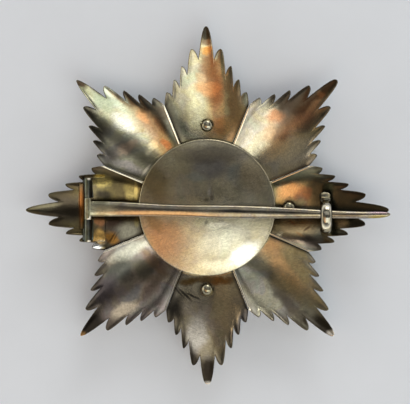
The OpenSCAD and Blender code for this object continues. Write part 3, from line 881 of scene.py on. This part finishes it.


# Rolled silver sheet with tarnish: it mirrors the panels softly, pale where it is rubbed, and straw and
# brown where tarnish has built up, with darker and lighter patches on each ray, among them the painted
# highlights and painted shadows noted at each ray
RAY_LOOKS = {
    # North: the last patch, a dark ring round the nut, is painted shadow
    "n": dict(light="#cccbb6", warm="#b3ad92", dark="#88846a", patches=(
        (1.8, 28.6, 6, 2.4, 90, "#8c7058", 0.9), (0.2, 28.3, 3.6, 2.0, -8, "#bc9068", 0.85),
        (6.4, 25.4, 8.6, 2.6, 100, "#806a50", 0.85), (-8.2, 19.4, 3.8, 6.4, 20, "#45443e", 0.92),
        (0.5, 33.6, 4.2, 2.2, 90, "#7e5e42", 0.9), (0.1, 42, 2.8, 3.6, 0, "#2b2823", 0.98),
        (-0.5, 39.2, 1.3, 1.0, 0, "#5d4c3c", 0.85), (0, 37.1, 1.8, 1.1, 0, "#bd8a4a", 0.85),
        (0, 38.9, 1.6, 0.75, 0, "#7a6a58", 0.8), (3, 19, 4.4, 2.6, 20, "#a07c50", 0.65),
        (-4.3, 21.6, 2.0, 1.9, 0, "#8e8468", 0.6), (-8.7, 24.2, 1.5, 2.4, 0, "#5c584c", 0.7),
        (-1.3, 30.8, 1.5, 1.4, 0, "#b08a62", 0.55), (0, 19.4, 2.0, 2.0, 0, "#4a4234", 0.25))),
    # North-east: the near-white patch at 21.0, 13.2, the cream one at 16.4, 13.4 and the pale tip patch at
    # the seam are painted highlights
    "ne": dict(light="#c8c5b8", warm="#bdb49a", dark="#85795f", patches=(
        (17.6, 17.8, 6, 2.6, 75, "#7c6654", 0.85), (22.6, 20.4, 4, 2.8, 20, "#7c6c60", 0.75),
        (16.2, 21.8, 2.6, 2.0, 10, "#b07c58", 0.9), (14.8, 17.8, 3.0, 1.6, 70, "#b09070", 0.7),
        (22.6, 25.4, 8.4, 4.4, 40, "#362e28", 0.97), (16.8, 26.4, 4, 2.2, 40, "#544638", 0.8),
        (18.6, 24.9, 3.6, 1.9, 35, "#3a3129", 0.95), (28.8, 28.6, 4.4, 2.2, 45, "#26221e", 0.95),
        (26.9, 26.7, 1.5, 1.1, -45, "#6e5842", 0.6), (21.0, 13.2, 5.4, 3.2, 40, "#ece2c8", 0.85),
        (25.4, 21.6, 5, 2.2, 52, "#5c5046", 0.8), (16.4, 13.4, 4.4, 2.6, 25, "#f0dcb4", 0.75)),
        tips=((13.2, 24.8, 2.2, 1.1, 50, "#dedac4", 0.6),)),
    # East: the dark ring round the nut at 19.4, 0 is painted shadow, the pale patches at 20.5, -4.6 and 31.8,
    # -3.4 are painted light against the shade of the pin and of the catch, and the white spot at 17.2, -6.2
    # is a painted glint
    "e": dict(light="#8a8876", warm="#74725c", dark="#4c4d42", patches=(
        (35.5, 1, 10, 8, 0, "#2f312a", 0.95), (19.6, 3.9, 3.6, 2.3, 10, "#c69868", 0.85),
        (20.5, -4.6, 6, 3.2, 0, "#d8c092", 0.85), (20.5, -7.6, 4.4, 0.9, -10, "#857468", 0.7),
        (17.2, -6.2, 0.9, 0.7, 30, "#fff4d4", 0.9), (22.0, -6.4, 1.4, 0.35, -30, "#c89a64", 0.6),
        (20.2, -3.6, 1.2, 0.3, -40, "#a8642c", 0.6), (23.6, -5.0, 1.2, 0.3, 35, "#6a4a30", 0.7),
        (27.0, 4.2, 4.4, 3.8, 0, "#37382e", 0.9), (22.6, 3.2, 2.4, 1.5, 35, "#7a4a38", 0.45),
        (19.5, 7.3, 5, 1.2, 18, "#666853", 0.85), (25.5, -8.6, 4, 1.6, -20, "#453c36", 0.8),
        (19.4, 0, 2.4, 2.4, 0, "#2e2620", 0.95), (31.8, -3.4, 2.2, 1.9, 0, "#c8b08a", 0.75),
        (16.9, -5.2, 0.8, 1.2, 20, "#d0c094", 0.7), (17.4, 1.6, 1.0, 1.2, 0, "#b89460", 0.6))),
    # South-east: the pale tip patch is a painted highlight on the tip's end
    "se": dict(light="#c5c4b4", warm="#aaa694", dark="#868074", patches=(
        (16.6, -19.4, 4.8, 1.8, -58, "#605d55", 0.8), (18.6, -17.6, 6, 3.4, -45, "#c0ac80", 0.7),
        (18.4, -13.6, 8, 1.9, -42, "#949886", 0.65), (27.5, -28, 4, 2.1, -45, "#3f3932", 0.85),
        (21, -24.4, 8, 1.9, -45, "#5a5146", 0.8), (9.6, -23.6, 3.4, 1.6, -65, "#7c7464", 0.6)),
        tips=((29.4, -29.6, 1.4, 0.9, -10, "#f6eee0", 0.95),)),
    # South: the near-white streak at -2.5, -29.8 and the pale tip patch are painted highlights, and the last
    # patch, a dark ring round the nut, is painted shadow
    "s": dict(light="#d4ccba", warm="#b6a88c", dark="#8c8074", patches=(
        (-2.5, -29.8, 5.6, 2.7, 80, "#f6efe0", 0.9), (5.6, -25, 6.8, 2.8, 80, "#c4b394", 0.65),
        (8.0, -27.6, 7, 1.9, 66, "#5a5c60", 0.95), (-8.6, -22, 6.4, 2.8, 105, "#45423e", 0.9),
        (0.2, -38.6, 3.6, 2.4, 90, "#3a3029", 0.92), (0, -19.5, 9, 4.4, 0, "#c4bba2", 0.6),
        (0, -17.2, 8, 1.0, 0, "#745a30", 0.85), (3.2, -17.5, 2.8, 1.1, 8, "#8c6434", 0.65),
        (-4.4, -17.4, 2.4, 1.0, -8, "#7a5c2c", 0.65), (-5.4, -20.4, 2.8, 0.35, -45, "#2e2a22", 0.8),
        (-3.2, -21, 2.2, 0.3, -25, "#2a261f", 0.8), (-7, -19.6, 2.6, 0.3, -50, "#33302a", 0.8),
        (0, -19.4, 2.0, 2.0, 0, "#33302a", 0.6)),
        tips=((0.3, -41.5, 1.3, 0.8, 0, "#f6eee0", 0.95),)),
    # South-west: the pale patches at -18.2, -10.4 and -19.4, -24.0 are painted highlights, and the dark ones
    # at -21.2, -15.6 and -24.2, -14.2 are painted shade that dims the bright window's reflection
    "sw": dict(light="#aca49a", warm="#978b83", dark="#666063", patches=(
        (-18.2, -10.4, 5.6, 1.9, 26, "#cfd0c4", 0.7), (-21.2, -15.6, 7, 3.2, 39, "#4a4c48", 0.95),
        (-26.0, -16.4, 7.4, 1.7, 103, "#575049", 0.9), (-24.6, -19.6, 5, 3.2, 48, "#585055", 0.8),
        (-14.9, -14.9, 3.6, 2.4, -45, "#5c5a4a", 0.8), (-12.4, -13.2, 5, 1.6, -45, "#74542c", 0.5),
        (-17.4, -20.6, 3.4, 1.6, 50, "#6e7478", 0.6), (-12.4, -18, 5, 1.8, 60, "#6b5a4c", 0.6),
        (-19.4, -24.0, 3.6, 1.6, 30, "#ecdcc0", 0.8), (-27.4, -28, 4, 2.0, 48, "#25282a", 0.9),
        (-24.2, -14.2, 1.8, 1.3, 30, "#3c3830", 0.75)),
        tips=((-29.6, -30.0, 1.3, 1.0, 45, "#a88050", 0.9),)),
    # Round the hinge: straw above, brown below, and dark beside the knuckles; the dark patch at -24.4, 2.7
    # just above the pin is painted shade, the pale strips at -16.8, 3.9 and -16.6, -3.4 beside the disc are
    # painted highlights, and the spots at -25.0, -8.3 and -26.4, -9.4 are painted glints
    "w": dict(light="#6a6448", warm="#5a4e36", dark="#3d352a", patches=(
        (-20.6, 5.0, 3.6, 2.8, 0, "#4c4430", 0.8), (-33.4, 0, 6, 4.4, 0, "#48413a", 0.8),
        (-38.4, 0.4, 4, 1.6, 2, "#8c8670", 0.7), (-25.0, 6.2, 2.6, 1.7, 0, "#b8a666", 0.8),
        (-24.4, 2.7, 2.2, 1.5, 0, "#2b2722", 0.9), (-18.4, 7.6, 2.2, 1.3, -30, "#54381f", 0.8),
        (-17.8, 4.4, 2.0, 2.8, 0, "#8c7e4e", 0.55), (-16.8, 3.9, 0.5, 3.2, 0, "#b8a468", 0.65),
        (-25.2, -3.4, 1.6, 1.7, 0, "#a87650", 0.85), (-25.3, -6.8, 1.7, 1.7, 0, "#e0b468", 0.9),
        (-21.8, -3.6, 2.6, 1.6, 0, "#46372f", 0.85), (-22.4, -7.4, 1.8, 2.0, 30, "#c08a40", 0.85),
        (-22.3, -7.0, 1.8, 0.2, 62, "#5a3818", 0.8), (-21.4, -6.6, 1.8, 0.18, 60, "#4a3018", 0.8),
        (-23.0, -7.8, 1.4, 0.16, 50, "#5a3818", 0.7), (-18.6, -5.4, 3.2, 2.6, 25, "#b4b09a", 0.85),
        (-16.6, -3.4, 0.7, 1.5, 0, "#b3a972", 0.6), (-18.2, 2.6, 1.6, 1.2, 0, "#b4a26a", 0.5),
        (-25.0, -8.3, 1.3, 0.7, 0, "#f0dcb8", 0.8), (-29.6, 0.2, 0.8, 5.2, 0, "#8a5628", 0.85),
        (-28, 7, 1.8, 1.3, 0, "#4a4438", 0.8), (-26.4, -9.4, 1.6, 1.0, 0, "#c8ccd0", 0.8))),
    # North-west: the near-white and cream patches at -13.2, 14.3, -19.4, 20.0 and -15.1, 21.2, the pale strip
    # along the seam at -19.2, 9.8 and the last tip patch are painted highlights, and the pale patch at -18.9,
    # 14.2 is painted light over a dark reflection
    "nw": dict(light="#c0c3b0", warm="#aeab94", dark="#857f76", patches=(
        (-26.6, 16.4, 5.8, 3.2, 62, "#4f4b42", 0.9), (-18, 15.5, 3.4, 2.2, 40, "#8f857a", 0.5),
        (-11.0, 19.6, 3.6, 1.4, -60, "#776550", 0.8), (-24.6, 27.4, 3.4, 1.2, -40, "#7f8a74", 0.8),
        (-9.6, 15.0, 1.8, 1.1, -30, "#c88a58", 0.6), (-14.6, 18.8, 5, 1.3, -50, "#c6cac0", 0.8),
        (-13.2, 14.3, 2.4, 1.2, 60, "#efeacb", 0.8), (-24.5, 24.8, 4.4, 2.4, -42, "#919a84", 0.75),
        (-28.6, 27.6, 2.8, 1.7, -45, "#8d8e70", 0.75), (-20.4, 13.4, 5, 2.2, 10, "#6b5d58", 0.55),
        (-18.9, 14.2, 2.8, 1.6, 30, "#d8c0a6", 0.75), (-19.2, 9.8, 6, 1.3, -20, "#cdc6c0", 0.7),
        (-18.8, 23.6, 4.6, 2.0, -42, "#c4d6c8", 0.75), (-29.8, 29.5, 1.9, 1.1, -38, "#38291f", 0.95),
        (-26.4, 27.9, 3.2, 0.5, -38, "#4a3c30", 0.7), (-19.4, 20.0, 3.4, 2.2, -20, "#f2f3ec", 0.6),
        (-15.1, 21.2, 1.9, 1.3, -45, "#ffe6c0", 0.6), (-26.6, 22.2, 2.4, 1.0, -60, "#66665a", 0.7),
        (-27.8, 25.6, 2.0, 0.8, -45, "#dcdcc4", 0.7), (-15.4, 25.0, 6, 2.6, -22, "#4a463c", 0.92),
        (-10, 22.4, 2.6, 2, -60, "#6b5a48", 0.7)),
        tips=((-23.0, 27.1, 2.4, 1.0, -38, "#d4dccb", 0.7), (-14.4, 8.9, 2.0, 0.4, 53, "#efe6cc", 0.85))),
}
RAY_NODES = {"e": "ray_e_with_catch", "w": "ray_w_with_hinge"}
# The sheets are rubbed across their rays, this far from the direction of their tips
SHEET_RUB = 70
# The clouds of each next ray are shifted this far, in metres
SHEET_SEED = 0.031

# Each sheet is painted darker along its edges as shade, and carries its seam's painted shadow and highlight
sheet_silver = {}
for number, key in enumerate(RING_OF_RAYS):
    finish = worn_silver("rolled silver sheet, tarnished, " + key, scratch_angle=RAYS[key][0] + SHEET_RUB,
                         rough=0.2, edge=(0.3, "#4a4238", 0.5), sheet=True, seed=SHEET_SEED * number,
                         **RAY_LOOKS[key])
    sheet_silver[key] = finish
    finish_piece(ray_sheet(key), finish, "star", RAY_NODES.get(key, "ray_" + key))

# Raised silver disc: a calm, finely scratched mirror, warm at one side, bluish above and bright below,
# where the pale patches at 4, -6.8, 8.6, -11, 2, -13.6 and 2.2, -3.9 are painted highlights
DISC_STAINS_AND_HIGHLIGHTS = (
    (0.5, 9.4, 5.4, 3, 0, "#6e7078", 0.65), (-12, 5.5, 3.6, 6.4, 15, "#8f7f58", 0.7),
    (1, 12.4, 9, 2.6, 0, "#5c564e", 0.75), (4, -6.8, 8, 3.6, 22, "#d3d2c2", 0.6),
    (-9.8, -7.4, 5.6, 4.6, -50, "#b4967a", 0.65), (-12.4, -3.2, 3.4, 1.8, -50, "#98825a", 0.6),
    (-2.6, 7.0, 2.8, 1.2, -8, "#a2a8a2", 0.65), (6.2, 8.2, 1.8, 2.4, 0, "#929c9a", 0.55),
    (10.6, 7, 4, 5, 30, "#b5a688", 0.7), (8.6, -11, 4.8, 2.6, 35, "#f2f1ea", 0.9),
    (2, -13.6, 5, 1.4, 5, "#d8d4bc", 0.6), (2.2, -3.9, 2.8, 1.0, 0, "#f2f0e0", 0.6),
    # Worn punch marks
    (0.4, 3.6, 1.1, 0.45, 80, "#d8d4c8", 0.8), (-0.3, 1.7, 0.6, 0.4, 20, "#3f3a36", 0.5),
    (1.1, 2.3, 0.45, 0.7, 0, "#3f3a36", 0.4), (-0.2, -3.5, 0.7, 0.5, 50, "#55504a", 0.5),
)
disc_silver = worn_silver("raised silver disc, tarnished", "#c5c2ae", "#b3ad95", "#8a867a", cloud_mm=12,
                          film_share=0.35, dark_share=0.35, rough=0.22, scratch_angle=20, scratch=0.25,
                          patches=DISC_STAINS_AND_HIGHLIGHTS)
finish_piece(back_disc(), disc_silver, "star", "back_disc")

# Turned silver: small bright domes, painted dark olive at their edges as shade
turned_silver = worn_silver("turned silver, painted dark at its edge", "#b4b1a0", "#98937e", "#706a56", cloud_mm=2,
                            dark_share=0.4, rough=0.16, scratch=0.15, edge=(0.68, "#666048", 0.9), bump=0.1,
                            film_share=0.0)
pattern = domed_nut()
for key in POST_ANGLES:
    finish_piece(nut_at(pattern, key), turned_silver, "star", "nut_" + key)
bpy.data.objects.remove(pattern)

# Cast silver: a rubbed, bright back between edges painted dark as shade, with a painted shadow in the gap
# under the lip, a painted highlight round the lip's end, and painted shade in its hollow and along the arch
CATCH_SHADE_AND_HIGHLIGHTS = (
    (27.9, 1.85, 2.6, 0.5, 0, "#1c1814", 0.97), (27.65, 2.9, 2.2, 0.8, 0, "#c2b795", 0.95),
    (27.65, 2.9, 1.1, 0.34, 3, "#262216", 0.97), (28.0, 0, 1.2, 4.6, 0, "#8f8f84", 0.5),
)
cast_silver = worn_silver("cast silver, rubbed bright", "#cfccc0", "#b5ad96", "#7a7060", cloud_mm=3,
                          dark_share=0.3, rough=0.15, scratch=0.15, bump=0.1, edge=(0.55, "#302e26", 1.0),
                          patches=CATCH_SHADE_AND_HIGHLIGHTS)
finish_piece(catch_hook(), cast_silver, "star", "ray_e_with_catch")

# Drawn tube: dull and grey-green, with a painted shadow along the plate, a painted highlight down its west
# side and painted highlights on its filed ends
TUBE_SHADOW_AND_HIGHLIGHTS = (
    (-27.35, 0, 0.5, 14, 0, "#1b1a18", 0.95), (-28.5, 0, 0.22, 14, 0, "#80876f", 0.4),
    (-27.8, 6.75, 0.55, 0.35, 0, "#f2eee0", 0.9), (-27.7, -7.95, 0.6, 0.35, 0, "#f2eee0", 0.9),
)
tube_silver = worn_silver("drawn silver tube, dark with tarnish", "#626860", "#53564e", "#343736",
                          cloud_mm=2.4, dark_share=0.6, rough=0.36, scratch_angle=90, scratch=0.3,
                          bump=0.4, patches=TUBE_SHADOW_AND_HIGHLIGHTS)
finish_piece(hinge_plate(), sheet_silver["w"], "star", "ray_w_with_hinge")
lower = (FIXED_END_Y[0], PIN_KNUCKLE_Y[0] - KNUCKLE_GAP)
upper = (PIN_KNUCKLE_Y[1] + KNUCKLE_GAP, FIXED_END_Y[1])
for piece in (knuckle("fixed_knuckle_lower", lower), knuckle("fixed_knuckle_upper", upper),
              knuckle_web("solder_lower", (lower[0] + SOLDER_SHORT, lower[1])),
              knuckle_web("solder_upper", (upper[0], upper[1] - SOLDER_SHORT))):
    finish_piece(piece, tube_silver, "star", "ray_w_with_hinge")

# Drawn wire: a dull dark thread inside the knuckles
wire_silver = worn_silver("drawn wire, dark", "#8c8b82", "#74726a", "#4a4a48", cloud_mm=2, rough=0.3)
finish_piece(hinge_rod(), wire_silver, "star", "hinge_wire")

# Forged silver: long bright and coppery streaks along the blade, dark strips of painted shade along its
# middle, and painted shade along its root's sides
BLADE_STREAKS_AND_SHADE = (
    (-25, -0.3, 4.4, 2.4, 0, "#cfceb4", 0.9), (-10.4, -1.45, 14, 0.8, -1.3, "#bf9f78", 0.9),
    (-12, -0.2, 13, 0.45, -1, "#77736a", 0.6), (6, -0.8, 3.4, 0.5, -1, "#41454c", 0.75),
    (15, -1.2, 12, 0.5, -1.6, "#42443f", 0.8), (33, -1.75, 5, 0.35, 1, "#5a4a34", 0.8),
    (40.6, -0.9, 3, 0.8, 0, "#8f7a86", 0.8), (40.4, -2.3, 3, 0.6, 0, "#9a8a48", 0.8),
)
blade_silver = worn_silver("forged silver, burnished", "#a29e92", "#90887a", "#6c655a", cloud_mm=6,
                           dark_share=0.25, rough=0.22, scratch=0.12, bump=0.05,
                           edge=(0.9, "#77745f", 0.85), patches=BLADE_STREAKS_AND_SHADE)
finish_piece(pin_blade(), blade_silver, "pin", "pin")

# Worn tube: paler than the fixed knuckles, with a dark line along it and painted highlights at one end
JOINT_LINE_AND_HIGHLIGHTS = (
    (-27.75, 0, 0.16, 4, 0, "#45433a", 0.7), (-27.3, -2.3, 0.4, 0.4, 0, "#f2eee0", 0.9),
    (-27.8, -2.75, 0.6, 0.25, 0, "#f2eee0", 0.9),
)
joint_silver = worn_silver("drawn silver tube, worn", "#b2b396", "#9c9b84", "#67675a", cloud_mm=1.6,
                           dark_share=0.6, rough=0.36, scratch_angle=90, scratch=0.3, bump=0.5,
                           patches=JOINT_LINE_AND_HIGHLIGHTS)
finish_piece(knuckle("pin_knuckle", PIN_KNUCKLE_Y), joint_silver, "pin", "pin")

# Struck silver: plain, even and little tarnished, as the front is guessed
front_silver = worn_silver("struck silver, plain", "#c4c1b6", "#aca695", "#7d786e", cloud_mm=12, rough=0.3)
finish_piece(front_disc(), front_silver, "star", "front_medallion")
for key in POST_ANGLES:
    finish_piece(post(key), front_silver, "star", "front_medallion")


# Studio: a pale floor, a dark space overhead, and soft panels round it

CEILING = 0.8
SIDE_LAMP_AWAY = 0.9
FLOOR_DROP = 0.02


def soft_lamp(name, place, wide, high, colour, brightness):
    """A soft rectangular lamp that faces down from its place, given in metres."""
    lamp = bpy.data.lights.new(name, "AREA")
    lamp.shape, lamp.size, lamp.size_y = "RECTANGLE", wide, high
    lamp.color, lamp.energy = linear(colour)[:3], brightness * math.pi * wide * high
    holder = bpy.data.objects.new(name, lamp)
    bpy.context.scene.collection.objects.link(holder)
    holder.location = place
    holder.visible_camera = False
    return holder


def ceiling_panel(name, x0, x1, y0, y1, colour, brightness):
    """A panel under the ceiling; its borders are given in shares of the ceiling's height."""
    middle = Vector(((x0 + x1) / 2, (y0 + y1) / 2, 1)) * CEILING
    soft_lamp(name, middle, (x1 - x0) * CEILING, (y1 - y0) * CEILING, colour, brightness)


def side_lamp(name, azimuth, zenith, wide, high, colour, brightness):
    """A lamp turned towards the star from one direction; azimuth 0 is +X and 90 is +Y."""
    a, z = math.radians(azimuth), math.radians(zenith)
    away = Vector((math.sin(z) * math.cos(a), math.sin(z) * math.sin(a), math.cos(z)))
    holder = soft_lamp(name, away * SIDE_LAMP_AWAY, wide, high, colour, brightness)
    holder.rotation_mode = "QUATERNION"
    holder.rotation_quaternion = away.to_track_quat("Z", "Y")


ceiling_panel("bright_window", -0.02, 0.5, -0.8, -0.12, "#fffef2", 2.2)
ceiling_panel("cream_strip", -0.12, -0.02, -0.8, -0.1, "#fce6c0", 1.8)
ceiling_panel("white_window", 0.5, 1.25, -1.2, -0.14, "#fdfcee", 1.4)
ceiling_panel("peach_curtain", -0.46, -0.12, -0.85, -0.09, "#f0b888", 1.25)
ceiling_panel("gold_wall", -1.1, -0.48, -0.6, 0.0, "#cbb890", 0.66)
ceiling_panel("straw_wall", -0.7, -0.14, -0.06, 0.5, "#d8c8a4", 0.15)
ceiling_panel("grey_wall", -0.5, 0.75, 0.25, 0.8, "#e6e4e0", 0.75)
side_lamp("north_lamp", 77, 64, 0.4, 0.3, "#fffcf4", 4.6)
side_lamp("west_panel", 172, 62, 0.5, 0.4, "#d8c4a4", 1.5)

world = bpy.data.worlds.new("studio air")
bpy.context.scene.world = world
world.use_nodes = True
tree = world.node_tree
up = add(tree, "SeparateXYZ", {0: add(tree, "TexCoord").outputs["Generated"]}).outputs["Z"]
# Dark overhead, where the camera is, and pale at the level of the table
level = add(tree, "MapRange", {VALUE: up, LOW: 0.72, HIGH: 0.05, TO_LOW: 0.1, TO_HIGH: 2.1},
            interpolation_type="SMOOTHSTEP")
tree.links.new(level.outputs[0], tree.nodes["Background"].inputs["Strength"])
tree.nodes["Background"].inputs["Color"].default_value = linear("#e6e4e2")


def matt_paper():
    """Matt photographic paper: a pale, even ground with faint clouds of 17 mm, coarser than its fibre."""
    material = bpy.data.materials.new("matt photographic paper")
    material.use_nodes = True
    tree = material.node_tree
    shader = tree.nodes["Principled BSDF"]
    place = add(tree, "TexCoord").outputs["Object"]
    fibre = add(tree, "TexNoise", {"Vector": place, "Scale": 60, "Detail": 4})
    shade = add(tree, "MapRange", {VALUE: fibre.outputs[0], LOW: 0.3, HIGH: 0.7,
                                   TO_LOW: 0.985, TO_HIGH: 1.015})
    tint = add(tree, "VectorMath", {0: linear("#e1e9f6")[:3], 1: shade.outputs[0]}, operation="MULTIPLY")
    tree.links.new(tint.outputs[0], shader.inputs["Base Color"])
    shader.inputs["Roughness"].default_value = 0.9
    return material


bpy.ops.object.select_all(action="DESELECT")
bpy.ops.mesh.primitive_plane_add(size=4, location=(0, 0, -FLOOR_DROP * MM))
floor = bpy.context.object
floor.name = "table"
floor.data.materials.append(matt_paper())

# Straight above the star, as the photo is taken, with a view of VIEW_W at VIEW_AWAY below the camera
CAMERA_PLACE = (-0.47, 1.30, 656)
VIEW_W = 96.8
VIEW_AWAY = 650
SENSOR_W = 36
camera_data = bpy.data.cameras.new("camera")
camera_data.sensor_width = SENSOR_W
camera_data.lens = SENSOR_W * VIEW_AWAY / VIEW_W
camera_data.clip_start, camera_data.clip_end = 0.01, 10
camera = bpy.data.objects.new("camera", camera_data)
bpy.context.scene.collection.objects.link(camera)
camera.location = Vector(CAMERA_PLACE) * MM
bpy.context.scene.camera = camera
bpy.context.scene.view_settings.view_transform = "Standard"
